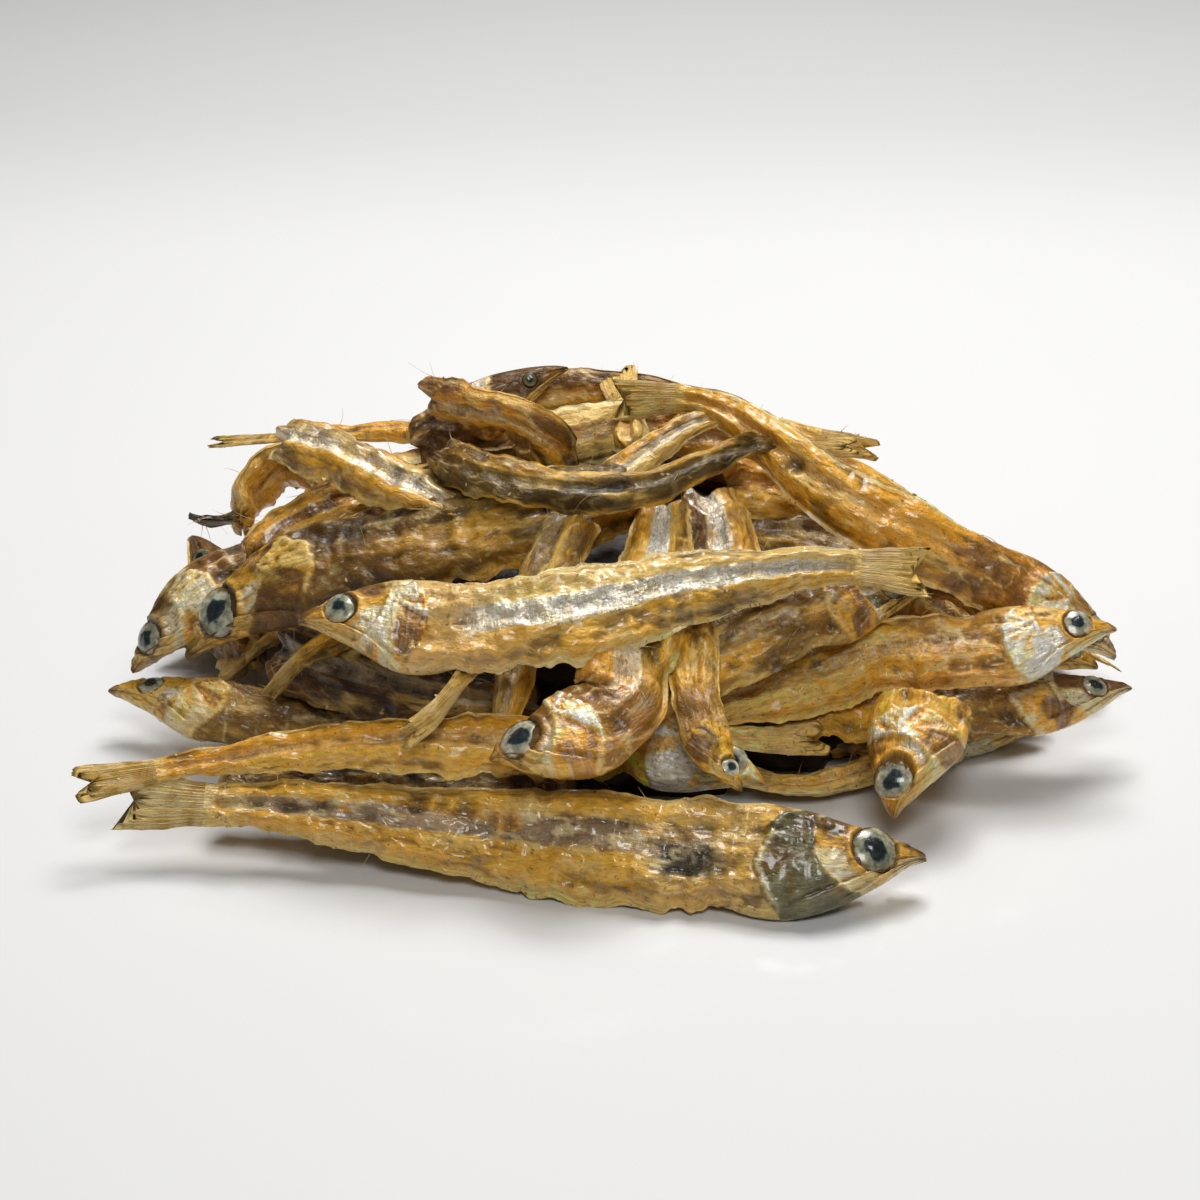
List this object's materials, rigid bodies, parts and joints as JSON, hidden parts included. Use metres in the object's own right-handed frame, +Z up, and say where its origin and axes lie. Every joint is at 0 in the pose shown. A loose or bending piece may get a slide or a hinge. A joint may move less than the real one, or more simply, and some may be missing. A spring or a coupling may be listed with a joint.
{
  "type": "pile of dried sprats",
  "caption": "Loose pile of small dried silver-striped fish, heads and tails at both ends, heaped to a low ridge on a flat base.",
  "frame": {"origin": "on the table, under the middle of the heap", "axes": "+Z up; +X along the front fish towards its snout, the heap's long way; -Y is the side the picture shows"},
  "size_m": [0.1282, 0.0927, 0.0443],
  "materials": {
    "dried_fish": "dry semi-gloss skin, amber to olive brown with darker torn flesh and pale thin edges",
    "silver_skin": "silvery lavender stripe along the flank, wrinkled, satin",
    "fish_eye": "cream iris round a blue-grey pupil, glossy",
    "tail_fin": "thin straw-coloured rays, translucent and ragged",
    "heap_core": "dark brown, in the shade between the fish"
  },
  "bodies": {
    "root": {"sprat_heap": "dried_fish"}
  },
  "joints": []
}
